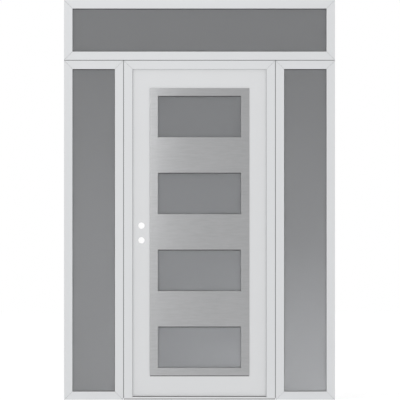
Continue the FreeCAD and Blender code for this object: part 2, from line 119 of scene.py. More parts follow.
WHITE = (1.0, 1.0, 1.0, 1.0)
PALE = (0.88, 0.88, 0.88, 1.0)

# Kinds of sockets
COLOUR = "NodeSocketColor"
NUMBER = "NodeSocketFloat"
WHOLE = "NodeSocketInt"
VECTOR = "NodeSocketVector"
MATERIAL = "NodeSocketMaterial"
SURFACE_OUTPUTS = (("Color", COLOUR), ("Roughness", NUMBER), ("Height", NUMBER))

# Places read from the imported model
outer_face_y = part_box("latch_jamb")[0].y
overall_height = cad_box[1].z - cad_box[0].z
overall_middle_x = (cad_box[0].x + cad_box[1].x) / 2

# Lamps, each with its width, its height, its place and the point that it is turned to
LAMPS = {
    "key_lamp": (2.4, 1.2, (-2.4, -4.2, 2.8), (0.0, 0.0, overall_height / 2)),
    "top_lamp": (1.6, 0.6, (-0.3, -1.3, 4.2), (0.0, 0.0, 1.5)),
    "gloss_card": (0.15, 0.5, (-0.5, -1.25, 1.7), (-0.3, 0.0, 1.7)),
    "low_card": (1.2, 0.1, (0.0, -0.7, 0.06), (0.0, 0.0, 0.25)),
}


def colour(name, description, default):
    """Colour property, linear, without alpha."""
    return bpy.props.FloatVectorProperty(
        name=name, description=description, default=default, subtype="COLOR", size=3, min=0.0, max=1.0
    )


def length(name, description, default):
    """Length property in metres."""
    return bpy.props.FloatProperty(
        name=name, description=description, default=default, unit="LENGTH", precision=4, min=0.0
    )


def amount(name, description, default, high=1.0):
    """Plain number property."""
    return bpy.props.FloatProperty(name=name, description=description, default=default, min=0.0, max=high)


def power(name, description, default):
    """Lamp power in watts."""
    return bpy.props.FloatProperty(
        name=name, description=description, default=default, unit="POWER", min=0.0
    )


class DoorFinishes(bpy.types.PropertyGroup):
    """Colours and gloss of the surfaces."""

    frame_white: colour("Frame white", "Profiles of the lights and the door frame", (0.69, 0.70, 0.712))
    leaf_white: colour("Leaf white", "Painted sheets of the leaf", (0.69, 0.697, 0.706))
    core_white: colour("Core white", "Edges of the leaf between its sheets", (0.62, 0.62, 0.61))
    steel: colour("Panel steel", "Brushed panels on both sides of the leaf", (0.479, 0.482, 0.489))
    light_glass: colour("Etched lights", "Outer panes of the fixed lights", (0.2295, 0.2315, 0.2375))
    window_glass: colour("Etched windows", "Outer panes of the leaf's windows", (0.2865, 0.2885, 0.2955))
    clear_glass: colour("Clear glass", "Panes behind the etched ones", (0.935, 0.945, 0.955))
    spacer_grey: colour("Spacer grey", "Spacers inside the glass units", (0.11, 0.11, 0.115))
    sill_metal: colour("Sill aluminium", "Anodised threshold", (0.46, 0.463, 0.47))
    stop_metal: colour("Stop aluminium", "Raised stop of the threshold", (0.70, 0.703, 0.71))
    dark_plastic: colour("Dark plastic", "Coupling strips and the thermal break", (0.09, 0.09, 0.092))
    strip_grey: colour("Strip grey", "Weatherstrip round the leaf", (0.25, 0.25, 0.254))
    sweep_grey: colour("Sweep grey", "Seal under the leaf", (0.38, 0.38, 0.385))
    # Dark rubber of the glazing lips; the same dark also paints the shade under the pane heads and the
    # shadow under the steel panels
    dark_rubber_and_shade: colour("Glazing rubber", "Seals at the panes and under the panels", (0.09, 0.09, 0.092))
    seam_grey: colour("Seam grey", "Sealant in the mitred corners", (0.12, 0.12, 0.122))
    hinge_steel: colour("Hinge steel", "Hinges and their screws", (0.50, 0.50, 0.505))
    coat_roughness: amount("Coating roughness", "Roughness of the white coatings", 0.55)
    brushed_roughness: amount("Brushed roughness", "Mean roughness of the brushed steel", 0.5)
    brushed_stretch: amount("Brushed stretch", "How far the brushing draws out the highlights", 0.92)
    glass_roughness: amount("Etch roughness", "Roughness of the etched glass", 0.45)
    glass_clear: amount("Glass clearness", "Share of light that passes the glass", 0.94)


class DoorFineSizes(bpy.types.PropertyGroup):
    """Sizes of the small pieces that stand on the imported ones."""

    screw_head: length("Screw head", "Diameter of the hinge screws' heads", 0.0078)
    screw_rise: length("Screw rise", "Height of a head above its plate", 0.0006)
    screw_inset: length("Screw inset", "Distance of the end screws from the plate's ends", 0.013)
    screw_count: bpy.props.IntProperty(
        name="Screws", description="Screws in one plate", default=4, min=2, max=8
    )
    plate_width: length("Plate width", "Width of a hinge plate", 0.024)
    plate_thickness: length("Plate thickness", "Thickness of a hinge plate", 0.003)
    lip_radius: length("Lip radius", "Radius of the lips round the fixed panes", 0.0009)
    # The head seals sized here are dark tubes that paint the shade under the heads of the panes
    head_radius: length("Head seal radius", "Radius of the seals along the heads of the panes", 0.0024)
    head_shade_drop: length("Head seal drop", "How far below the frame's edge a head seal begins", 0.0012)
    seam_radius: length("Seam radius", "Radius of the sealant in the mitred corners", 0.0003)
    seam_bevel: length("Seam bevel", "Width of the bevels that the mitred corners have", 0.0008)
    seam_end: length("Seam end", "How far a seam stops before the rounded edges", 0.002)
    bead_foot: length("Bead foot", "How far the glazing beads reach into their frame", 0.003)
    leaf_gap: length("Leaf gap", "Between the leaf and the rebate of its frame", 0.006)
    # The foot seal is a dark tube that paints the shadow under a steel panel
    foot_shadow_radius: length("Foot seal radius", "Radius of the seal under a steel panel", 0.0022)
    window_cover: length("Window cover", "How far the steel covers the edges of the leaf's panes", 0.011)


class DoorStage(bpy.types.PropertyGroup):
    """Floor, backdrop, lamps and camera."""

    camera_distance: length("Camera distance", "From the outer face to the camera", 40.0)
    camera_shift_x: length("Camera offset", "How far right of the middle the camera stands", 0.003)
    floor_size: length("Floor size", "Edge of the square floor", 60.0)
    floor_glow: amount("Floor glow", "Light added to the floor as it is seen, so that it is white", 0.51)
    floor_lift: amount("Floor lift", "Light that the floor itself sends up to the frame", 0.75)
    ambient: amount("Ambient", "Strength of the light from all round", 0.57, 5.0)
    key_power: power("Key lamp", "Soft lamp high at the front left", 19.4)
    top_power: power("Top lamp", "Soft lamp above, which shades the recesses below their upper edges", 8.3)
    gloss_power: power("Gloss card", "Upright card at the left that only the gloss of the steel shows", 4.7)
    low_power: power("Low card", "Card near the floor that only the gloss of the steel shows", 0.5)
    backdrop_distance: length("Backdrop distance", "From the frame back to the backdrop", 1.2)
    backdrop_width: length("Backdrop width", "Width of the backdrop", 6.0)
    backdrop_height: length("Backdrop height", "Height of the backdrop", 3.2)
    backdrop_start: length("Backdrop start", "From the frame to the backdrop's lower part", 0.06)
    low_glow: amount("Low glow", "Light that the backdrop adds in its lower part", 0.48, 5.0)
    low_glow_start: length("Low glow start", "Height at which the low glow begins", 2.4)
    low_glow_full: length("Low glow full", "Height below which the low glow is full", 0.7)
    corner_glow: amount("Corner glow", "Light that the backdrop adds at its lower right", 1.32, 5.0)
    corner_glow_x: length("Corner glow place", "How far right of the middle the corner glow lies", 0.95)
    corner_glow_width: length("Corner glow width", "Sideways reach over which the corner glow fades", 1.6)
    corner_glow_depth: length("Corner glow depth", "Forward reach over which the corner glow fades", 4.0)
    corner_glow_height: length("Corner glow height", "Upward reach over which the corner glow fades", 0.95)


def finishes():
    return bpy.context.scene.door_finishes


def fine_sizes():
    return bpy.context.scene.door_fine_sizes


def stage_settings():
    return bpy.context.scene.door_stage


# Node building


def add_node(tree, kind, x, y, **values):
    """Shader or geometry node at a place in its tree, with its settings."""
    made = tree.nodes.new(kind)
    made.location = (x, y)
    for key, value in values.items():
        setattr(made, key, value)
    return made


def feed(made, *terms, **named):
    """Sets a node's inputs, in their order or by name, and links those for which a socket is given."""
    pairs = list(zip(made.inputs, terms))
    pairs += [(made.inputs[key.replace("_", " ")], term) for key, term in named.items()]
    for socket, term in pairs:
        if isinstance(term, bpy.types.NodeSocket):
            made.id_data.links.new(term, socket)
        else:
            socket.default_value = term
    return made


def calculate(tree, operation, x, y, *terms):
    """Result of a Math node on sockets and numbers."""
    return feed(add_node(tree, "ShaderNodeMath", x, y, operation=operation), *terms).outputs[0]


def mix_colours(tree, x, y, *terms, **values):
    """Colour mixed by a factor from two others."""
    return feed(add_node(tree, "ShaderNodeMixRGB", x, y, **values), *terms).outputs["Color"]


def noise(tree, x, y, vector, **named):
    """Factor of a noise texture."""
    return feed(add_node(tree, "ShaderNodeTexNoise", x, y), Vector=vector, **named).outputs["Fac"]


def start_group(name, inputs, outputs=SURFACE_OUTPUTS):
    """New shader group with named sockets; gives it, its inputs, its end node and object coordinates."""
    group = bpy.data.node_groups.new(name, "ShaderNodeTree")
    for label, kind, default in inputs:
        group.interface.new_socket(name=label, in_out="INPUT", socket_type=kind).default_value = default
    for label, kind in outputs:
        group.interface.new_socket(name=label, in_out="OUTPUT", socket_type=kind)
    given = add_node(group, "NodeGroupInput", -1100, 0).outputs
    end = add_node(group, "NodeGroupOutput", 600, 0)
    place = add_node(group, "ShaderNodeTexCoord", -1100, -300).outputs["Object"]
    return group, given, end, place


def vary(group, given, end, tone_mask, roughness_mask, height):
    """Ends a group in a tone and a roughness that follow masks, and in a height."""
    dim = calculate(group, "SUBTRACT", -600, 450, 1.0, given["Tone Change"])
    low = mix_colours(group, -350, 450, 1.0, given["Base Color"], dim, blend_type="MULTIPLY")
    tone = mix_colours(group, 0, 300, tone_mask, low, given["Base Color"])
    spread = (given["Roughness Change"], given["Base Roughness"])
    rough = calculate(group, "MULTIPLY_ADD", -100, 0, roughness_mask, *spread)
    feed(end, Color=tone, Roughness=rough, Height=height)
    return group


def grain_group():
    """Fine grain of a coating: slow tone changes, small roughness changes and an orange-peel height."""
    found = bpy.data.node_groups.get("coating_grain")
    if found:
        return found
    group, given, end, place = start_group("coating_grain", [
        ("Base Color", COLOUR, (0.7, 0.7, 0.7, 1.0)),
        ("Tone Change", NUMBER, 0.03),
        ("Base Roughness", NUMBER, 0.4),
        ("Roughness Change", NUMBER, COATING_SPREAD),
        ("Grain Scale", NUMBER, 900.0),
    ])
    slow = noise(group, -600, 200, place, Scale=3.5, Detail=3.0, Roughness=0.55)
    fine = noise(group, -600, -200, place, Scale=given["Grain Scale"], Detail=2.0, Roughness=0.5)
    return vary(group, given, end, slow, fine, fine)


def brushing_group():
    """Lines of brushed metal: noise drawn out along one direction, as tone, roughness and height."""
    found = bpy.data.node_groups.get("brushed_lines")
    if found:
        return found
    group, given, end, place = start_group("brushed_lines", [
        ("Base Color", COLOUR, (0.5, 0.5, 0.5, 1.0)),
        ("Tone Change", NUMBER, 0.1),
        ("Base Roughness", NUMBER, 0.35),
        ("Roughness Change", NUMBER, BRUSHING_SPREAD),
        ("Lines", VECTOR, (900.0, 900.0, 6.0)),
    ])
    stretch = feed(
        add_node(group, "ShaderNodeVectorMath", -850, -150, operation="MULTIPLY"), place, given["Lines"]
    )
    lines = noise(group, -600, -150, stretch.outputs[0], Scale=1.0, Detail=4.0, Roughness=0.65)
    cloud = noise(group, -600, 200, place, Scale=6.0, Detail=2.0, Roughness=0.5)
    mixed = calculate(group, "MULTIPLY_ADD", -350, 50, cloud, CLOUD_SHARE, lines)
    return vary(group, given, end, mixed, mixed, lines)


def pane_group():
    """Glass unit: the pane outside the split is tinted and etched, the panes behind it are clear."""
    found = bpy.data.node_groups.get("etched_outer_pane")
    if found:
        return found
    group, given, end, place = start_group("etched_outer_pane", [
        ("Split", NUMBER, 0.0),
        ("Etched Color", COLOUR, (0.3, 0.3, 0.3, 1.0)),
        ("Clear Color", COLOUR, (0.95, 0.95, 0.95, 1.0)),
        ("Etched Roughness", NUMBER, 0.5),
        ("Clear Roughness", NUMBER, 0.0),
        ("Etch Scale", NUMBER, 1500.0),
    ])
    depth = feed(add_node(group, "ShaderNodeSeparateXYZ", -650, -300), place).outputs["Y"]
    behind = calculate(group, "GREATER_THAN", -400, -200, depth, given["Split"])
    etch = noise(group, -650, -550, place, Scale=given["Etch Scale"], Detail=3.0, Roughness=0.6)
    tint = mix_colours(group, 0, 250, behind, given["Etched Color"], given["Clear Color"])
    cloud = calculate(group, "MULTIPLY_ADD", -400, -400, etch, ETCHING_SPREAD, given["Etched Roughness"])
    rough = feed(add_node(group, "ShaderNodeMix", 0, 0), Factor=behind, A=cloud, B=given["Clear Roughness"])
    front = calculate(group, "SUBTRACT", -150, -300, 1.0, behind)
    relief = calculate(group, "MULTIPLY", 50, -400, front, etch)
    feed(end, Color=tint, Roughness=rough.outputs["Result"], Height=relief)
    return group


def stop_tone_group():
    """Two tones of one metal, the second above a height."""
    found = bpy.data.node_groups.get("paler_above_height")
    if found:
        return found
    group, given, end, place = start_group("paler_above_height", [
        ("Height", NUMBER, 0.0),
        ("Low Color", COLOUR, (0.3, 0.3, 0.3, 1.0)),
        ("High Color", COLOUR, (0.5, 0.5, 0.5, 1.0)),
    ], [("Color", COLOUR)])
    height = feed(add_node(group, "ShaderNodeSeparateXYZ", -500, -250), place).outputs["Z"]
    above = calculate(group, "GREATER_THAN", -250, -150, height, given["Height"])
    feed(end, Color=mix_colours(group, 0, 0, above, given["Low Color"], given["High Color"]))
    return group


def start_material(name):
    """New material with an empty tree."""
    material = bpy.data.materials.new(name)
    material.use_nodes = True
    material.node_tree.nodes.clear()
    return material


def surface(name, group, bump, depth, group_values, shader_values):
    """Material whose colour, roughness and bump come from a shared group; constants sit on the shader."""
    material = start_material(name)
    tree = material.node_tree
    out = add_node(tree, "ShaderNodeOutputMaterial", 500, 0)
    shader = feed(add_node(tree, "ShaderNodeBsdfPrincipled", 150, 0), **shader_values)
    effect = feed(add_node(tree, "ShaderNodeGroup", -300, 100, node_tree=group), **group_values).outputs
    relief = add_node(tree, "ShaderNodeBump", -80, -250)
    feed(relief, Strength=bump, Distance=depth, Height=effect["Height"])
    feed(shader, Base_Color=effect["Color"], Roughness=effect["Roughness"], Normal=relief.outputs["Normal"])
    feed(out, Surface=shader.outputs["BSDF"])
    return material


def coated(name, base, roughness, tone=0.03, scale=900.0, **shader_values):
    """Coated, painted, plastic or rubber surface."""
    values = {
        "Base Color": (*base, 1.0),
        "Tone Change": tone,
        "Base Roughness": roughness - COATING_SPREAD / 2,
        "Roughness Change": COATING_SPREAD,
        "Grain Scale": scale,
    }
    shader_values = {"Specular IOR Level": COATING_GLOSS} | shader_values
    return surface(name, grain_group(), COATING_BUMP, COATING_RELIEF, values, shader_values)


def rubbery(name, base):
    """Matt rubber with a close grain."""
    return coated(name, base, tone=0.1, roughness=0.6, scale=1400.0)


def brushed(name, base, lines, roughness, tone=0.12, bump=BRUSHING_BUMP, **shader_values):
    """Brushed or drawn metal whose lines run along the axis with the smallest number in lines."""
    values = {
        "Base Color": (*base, 1.0),
        "Tone Change": tone,
        "Base Roughness": roughness - BRUSHING_SPREAD / 2,
        "Roughness Change": BRUSHING_SPREAD,
        "Lines": lines,
    }
    return surface(name, brushing_group(), bump, BRUSHING_RELIEF, values, {"Metallic": 1.0} | shader_values)


def draw_out_gloss(material, axis):
    """Turns the stretched highlights so that they run round an axis, across the brushing."""
    tree = material.node_tree
    tangent = add_node(tree, "ShaderNodeTangent", -80, -450, direction_type="RADIAL", axis=axis)
    feed(tree.nodes["Principled BSDF"], Tangent=tangent.outputs["Tangent"])


def dress(nodes, material):
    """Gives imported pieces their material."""
    for name in nodes:
        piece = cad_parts[name]
        for place in piece.material_slots:
            place.material = material


class DOOR_OT_dress_frames(bpy.types.Operator):
    """White coated bars and beads of the lights and the door frame, and the dark strips between them"""

    bl_idname = "door.dress_frames"
    bl_label = "Dress frames"

    def execute(self, context):
        looks = finishes()
        white = coated("coated_white_profile", looks.frame_white, roughness=looks.coat_roughness)
        dress(LIGHT_BARS + BEADS + DOOR_FRAME_BARS, white)
        dark = coated("dark_coupling_plastic", looks.dark_plastic, roughness=0.6)
        dress(["coupling_strips", "threshold_thermal_break"], dark)
        return {"FINISHED"}


class DOOR_OT_dress_leaf(bpy.types.Operator):
    """Painted sheets and edges of the leaf"""

    bl_idname = "door.dress_leaf"
    bl_label = "Dress leaf"

    def execute(self, context):
        looks = finishes()
        white = coated("painted_white_sheet", looks.leaf_white, roughness=looks.coat_roughness, scale=700.0)
        dress(SKINS, white)
        core = coated("leaf_edge_white", looks.core_white, tone=0.06, roughness=0.5)
        dress(CORE, core)
        return {"FINISHED"}


class DOOR_OT_dress_steel(bpy.types.Operator):
    """Brushed steel panels of the leaf"""

    bl_idname = "door.dress_steel"
    bl_label = "Dress steel panels"

    def execute(self, context):
        looks = finishes()
        steel = brushed(
            "cross_brushed_panel",
            looks.steel,
            PANEL_BRUSHING,
            tone=0.28,
            roughness=looks.brushed_roughness,
            Anisotropic=looks.brushed_stretch,
        )
        draw_out_gloss(steel, "X")
        dress(STEEL_PANELS, steel)
        return {"FINISHED"}


class DOOR_OT_dress_glass(bpy.types.Operator):
    """Etched panes and the spacers between them"""

    bl_idname = "door.dress_glass"
    bl_label = "Dress glass"

    def execute(self, context):
        looks = finishes()
        split = (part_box("door_window_outer_panes")[1].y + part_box("door_window_middle_panes")[0].y) / 2
        for nodes, name, tint in (
            (LIGHT_PANES, "etched_light_glass", looks.light_glass),
            (WINDOW_PANES, "etched_window_glass", looks.window_glass),
        ):
            values = {
                "Split": split,
                "Etched Color": (*tint, 1.0),
                "Clear Color": (*looks.clear_glass, 1.0),
                "Etched Roughness": looks.glass_roughness,
            }
            shader_values = {"Transmission Weight": looks.glass_clear, "IOR": GLASS_IOR}
            glass = surface(name, pane_group(), ETCHING_BUMP, ETCHING_RELIEF, values, shader_values)
            dress(nodes, glass)
        grey = coated("spacer_grey", looks.spacer_grey, roughness=0.5)
        dress(SPACERS, grey)
        return {"FINISHED"}


class DOOR_OT_dress_sill(bpy.types.Operator):
    """Anodised threshold and the rubber of the weatherstrip and the sweep"""

    bl_idname = "door.dress_sill"
    bl_label = "Dress threshold and seals"

    def execute(self, context):
        looks = finishes()
        metal = brushed(
            "anodised_sill", looks.sill_metal, SILL_BRUSHING, tone=0.04, roughness=0.42, bump=0.1
        )
        effect = next(made for made in metal.node_tree.nodes if made.type == "GROUP")
        tones = feed(
            add_node(metal.node_tree, "ShaderNodeGroup", -550, 100, node_tree=stop_tone_group()),
            Height=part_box("threshold_thermal_break")[1].z,
            Low_Color=(*looks.sill_metal, 1.0),
            High_Color=(*looks.stop_metal, 1.0),
        )
        feed(effect, Base_Color=tones.outputs["Color"])
        dress(["threshold"], metal)
        for node, name, tint in (
            ("door_weatherstrip", "grey_strip_rubber", looks.strip_grey),
            ("door_sweep", "grey_sweep_rubber", looks.sweep_grey),
        ):
            dress([node], rubbery(name, tint))
        return {"FINISHED"}


class DOOR_OT_dress_hinges(bpy.types.Operator):
    """Satin steel hinges"""

    bl_idname = "door.dress_hinges"
    bl_label = "Dress hinges"

    def execute(self, context):
        steel = brushed("satin_hinge_steel", finishes().hinge_steel, HINGE_BRUSHING, roughness=0.32)
        dress(HINGE_HALVES, steel)
        return {"FINISHED"}


def add_object(name, data):
    """Object in the scene's own collection."""
    made = bpy.data.objects.new(name, data)
    bpy.context.scene.collection.objects.link(made)
    return made


def grow(name, points, edges, tree, values, body, slot):
    """Runs a geometry tree on a wire of points, and keeps the result as a plain mesh on a body."""
    wire = bpy.data.meshes.new(name + "_wire")
    wire.from_pydata(points, edges, [])
    seed = add_object(name + "_seed", wire)
    modifier = seed.modifiers.new("grow", "NODES")
    modifier.node_group = tree
    for socket in tree.interface.items_tree:
        if socket.item_type == "SOCKET" and socket.in_out == "INPUT" and socket.name in values:
            modifier[socket.identifier] = values[socket.name]
    grown = seed.evaluated_get(bpy.context.evaluated_depsgraph_get())
    mesh = bpy.data.meshes.new_from_object(grown)
    mesh.name = name
    bpy.data.objects.remove(seed)
    bpy.data.meshes.remove(wire)
    if not mesh.polygons:
        raise RuntimeError(f"{name} has no faces")
    piece = add_object(name, mesh)
    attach(piece, body)


def start_geometry(name, sockets):
    """New geometry tree with a geometry input and output and named inputs; gives it and its inputs."""
    tree = bpy.data.node_groups.new(name, "GeometryNodeTree")
    tree.interface.new_socket(name="Geometry", in_out="INPUT", socket_type="NodeSocketGeometry")
    for label, kind in sockets.items():
        tree.interface.new_socket(name=label, in_out="INPUT", socket_type=kind)
    tree.interface.new_socket(name="Geometry", in_out="OUTPUT", socket_type="NodeSocketGeometry")
    return tree, add_node(tree, "NodeGroupInput", -1300, 0).outputs


def finish_geometry(tree, geometry, material, x):
    """Ends a tree in Realize Instances and Set Material."""
    real = feed(add_node(tree, "GeometryNodeRealizeInstances", x, 0), Geometry=geometry)
    coat = add_node(tree, "GeometryNodeSetMaterial", x + 200, 0)
    feed(coat, Geometry=real.outputs["Geometry"], Material=material)
    feed(add_node(tree, "NodeGroupOutput", x + 400, 0), Geometry=coat.outputs["Geometry"])
    return tree


def lip_tree():
    """Round lip along every line of a wire."""
    tree, given = start_geometry("lip_along_wire", {"Radius": NUMBER, "Sides": WHOLE, "Material": MATERIAL})
    path = feed(add_node(tree, "GeometryNodeMeshToCurve", -350, 100), Mesh=given["Geometry"])
    section = add_node(tree, "GeometryNodeCurvePrimitiveCircle", -350, -150)
    feed(section, Radius=given["Radius"], Resolution=given["Sides"])
    swept = add_node(tree, "GeometryNodeCurveToMesh", -100, 0)
    feed(swept, Curve=path.outputs["Curve"], Profile_Curve=section.outputs["Curve"], Fill_Caps=True)
    return finish_geometry(tree, swept.outputs["Mesh"], given["Material"], 150)


def screw_tree():
    """Column of screw heads with a cross recess above every point, facing +Y."""
    sizes = {"Count": WHOLE, "Pitch": NUMBER, "Radius": NUMBER, "Rise": NUMBER}
    tree, given = start_geometry("screw_columns", sizes | {"Material": MATERIAL})
    top = calculate(tree, "MULTIPLY", -1050, 350, given["Radius"], SCREW_TOP_SHARE)
    cone = feed(
        add_node(tree, "GeometryNodeMeshCone", -800, 300),
        Vertices=SCREW_SIDES,
        Radius_Top=top,
        Radius_Bottom=given["Radius"],
        Depth=given["Rise"],
    )
    head = cone.outputs["Mesh"]
    long = calculate(tree, "MULTIPLY", -1200, -200, given["Radius"], RECESS_LENGTH_SHARE)
    narrow = calculate(tree, "MULTIPLY", -1200, -400, given["Radius"], RECESS_WIDTH_SHARE)
    high = calculate(tree, "MULTIPLY", -1200, 100, given["Rise"], RECESS_LIFT_SHARE)
    lift = feed(add_node(tree, "ShaderNodeCombineXYZ", -1050, 100), Z=high)
    for place, widths in enumerate(((long, narrow), (narrow, long))):
        y = -200 - 200 * place
        size = feed(add_node(tree, "ShaderNodeCombineXYZ", -1050, y), *widths, given["Rise"])
        slot = feed(add_node(tree, "GeometryNodeMeshCube", -850, y), Size=size.outputs[0])
        raised = add_node(tree, "GeometryNodeTransform", -650, y)
        feed(raised, Geometry=slot.outputs["Mesh"], Translation=lift.outputs[0])
        carve = add_node(tree, "GeometryNodeMeshBoolean", -400 + 200 * place, 200)
        carve.operation = "DIFFERENCE"
        carve.solver = "EXACT"
        feed(carve, Mesh_1=head, Mesh_2=raised.outputs["Geometry"])
        head = carve.outputs["Mesh"]
    step = feed(add_node(tree, "ShaderNodeCombineXYZ", -400, -250), Z=given["Pitch"])
    column = add_node(tree, "GeometryNodeMeshLine", -200, -200)
    feed(column, Count=given["Count"], Offset=step.outputs[0])
    screws = add_node(tree, "GeometryNodeInstanceOnPoints", 100, 0)
    feed(screws, Points=column.outputs["Mesh"], Instance=head, Rotation=(-math.pi / 2, 0.0, 0.0))
    plates = add_node(tree, "GeometryNodeInstanceOnPoints", 300, 0)
    feed(plates, Points=given["Geometry"], Instance=screws.outputs["Instances"])
    return finish_geometry(tree, plates.outputs["Instances"], given["Material"], 500)


def island_boxes(node):
    """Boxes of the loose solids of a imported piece, from the lowest up."""
    shape = bmesh.new()
    shape.from_mesh(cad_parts[node].data)
    bmesh.ops.remove_doubles(shape, verts=shape.verts, dist=MERGE_DISTANCE)
    left = set(shape.verts)
    boxes = []
    while left:
        front = [left.pop()]
        island = []
        while front:
            vertex = front.pop()
            island.append(vertex.co.copy())
            near = {edge.other_vert(vertex) for edge in vertex.link_edges} & left
            left -= near
            front.extend(near)
        boxes.append(tuple(Vector(map(pick, *island)) for pick in (min, max)))
    shape.free()
    return sorted(boxes, key=lambda box: box[0].z)


def add_loop(points, edges, low, high, y):
    """Adds an upright rectangle at depth y to a wire."""
    first = len(points)
    points.extend([(low.x, y, low.z), (high.x, y, low.z), (high.x, y, high.z), (low.x, y, high.z)])
    edges.extend((first + side, first + (side + 1) % 4) for side in range(4))


def add_mitres(points, edges, outer, inner, y, clear, heights=(0, 1)):
    """Adds a frame's mitre lines, from outer to inner box, to a wire, clear of the rounded edges."""
    for side in (0, 1):
        for height in heights:
            start = Vector((outer[side].x, y, outer[height].z))
            end = Vector((inner[side].x, y, inner[height].z))
            short = (end - start).normalized() * clear
            edges.append((len(points), len(points) + 1))
            points.extend([start + short, end - short])


def add_head_shade_line(points, edges, low, high, y, radius, drop=0.0):
    """Adds the line of a dark tube below the head of an opening to a wire, clear of its corners; the tube
    is painted shade under the head.
    """
    first = len(points)
    z = high.z - radius - drop
    points.extend([(low.x + radius, y, z), (high.x - radius, y, z)])
    edges.append((first, first + 1))


def light_boxes():
    """Outer boxes and visible openings of the fixed lights, each as low and high corners."""
    found = []
    for light, stiles in LIGHT_STILES.items():
        bars = (*stiles, "bottom_rail", "top_rail")
        left, right, bottom, top = (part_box(f"{light}_{bar}") for bar in bars)
        outer = Vector((left[0].x, 0, bottom[0].z)), Vector((right[1].x, 0, top[1].z))
        sight = Vector((left[1].x, 0, bottom[1].z)), Vector((right[0].x, 0, top[0].z))
        found.append((outer, sight))
    return found


class DOOR_OT_lay_glazing_lips(bpy.types.Operator):
    """Thin rubber lips where the panes meet their frames, and thicker dark tubes along the heads as painted
    shade
    """

    bl_idname = "door.lay_glazing_lips"
    bl_label = "Lay glazing lips"

    def execute(self, context):
        sizes = fine_sizes()
        rubber = rubbery("grey_rubber_and_painted_shade", finishes().dark_rubber_and_shade)
        radius = sizes.lip_radius
        head = sizes.head_radius
        inset = Vector((radius, 0, radius))
        lips, heads = ([], []), ([], [])
        for (_, (low, high)), panes in zip(light_boxes(), LIGHT_PANES):
            near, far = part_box(panes)
            add_loop(*lips, low + inset, high - inset, near.y - radius)
            add_loop(*lips, low + inset, high - inset, far.y + radius)
            # A dark tube under the head of each fixed pane, as painted shade
            add_head_shade_line(*heads, low, high, near.y - head, head, sizes.head_shade_drop)
        tree = lip_tree()
        lip_values = {"Radius": radius, "Sides": 8, "Material": rubber}
        head_values = {"Radius": head, "Sides": 12, "Material": rubber}
        grow("fixed_light_glazing_lips", *lips, tree, lip_values, "frame", "seal")
        grow("fixed_light_painted_head_shade", *heads, tree, head_values, "frame", "seal")
        heads = ([], [])
        cover = Vector((sizes.window_cover, 0, sizes.window_cover))
        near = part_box("door_window_outer_panes")[0].y - head
        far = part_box("door_window_inner_panes")[1].y + head
        # Dark tubes under the heads of the leaf's windows, on both faces, as painted shade
        for low, high in island_boxes("door_window_outer_panes"):
            for y in (near, far):
                add_head_shade_line(*heads, low + cover, high - cover, y, head)
        grow("door_window_painted_head_shade", *heads, tree, head_values, "door_leaf", "seal")
        return {"FINISHED"}


class DOOR_OT_seal_corners(bpy.types.Operator):
    """Sealant in the mitred corners of the frames, and dark tubes under the steel panels as painted shadow
    """

    bl_idname = "door.seal_corners"
    bl_label = "Seal corners and panels"

    def execute(self, context):
        sizes = fine_sizes()
        looks = finishes()
        depth = sizes.seam_bevel - sizes.seam_radius * math.sqrt(2)
        front, back = outer_face_y + depth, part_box("latch_jamb")[1].y - depth
        foot = Vector((sizes.bead_foot, 0, sizes.bead_foot))
        seams = ([], [])
        for (outer, sight), beads in zip(light_boxes(), BEADS):
            low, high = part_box(beads)
            add_mitres(*seams, outer, sight, front, sizes.seam_end)
            add_mitres(*seams, outer, (low + foot, high - foot), back, sizes.seam_end)
        latch, hinge, head = (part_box(name) for name in ("latch_jamb", "hinge_jamb", "door_head"))
        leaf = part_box("leaf_lock_stile")
        outer = latch[0], Vector((hinge[1].x, 0, head[1].z))
        sight = Vector((latch[1].x, 0, latch[0].z)), Vector((hinge[0].x, 0, head[0].z))
        left = leaf[0].x - sizes.leaf_gap
        right = 2 * overall_middle_x - left
        rebate = Vector((left, 0, latch[0].z)), Vector((right, 0, leaf[1].z + sizes.leaf_gap))
        add_mitres(*seams, outer, sight, front, sizes.seam_end, heights=(1,))
        add_mitres(*seams, outer, rebate, back, sizes.seam_end, heights=(1,))
        tree = lip_tree()
        sealant = coated("grey_corner_sealant", looks.seam_grey, tone=0.1, roughness=0.6)
        values = {"Radius": sizes.seam_radius, "Sides": 6, "Material": sealant}
        grow("frame_corner_seams", *seams, tree, values, "frame", "seal")
        # A dark tube under each steel panel, on both faces, as painted shadow of the panel
        radius = sizes.foot_shadow_radius
        feet = ([], [])
        for face, (panel, skin) in enumerate(zip(STEEL_PANELS, SKINS)):
            low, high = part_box(panel)
            z = low.z - radius
            feet[1].append((len(feet[0]), len(feet[0]) + 1))
            feet[0].extend((x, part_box(skin)[face].y, z) for x in (low.x + radius, high.x - radius))
        rubber = rubbery("painted_panel_shadow_dark", looks.dark_rubber_and_shade)
        values = {"Radius": radius, "Sides": 12, "Material": rubber}
        grow("painted_panel_foot_shadow", *feet, tree, values, "door_leaf", "seal")
        return {"FINISHED"}


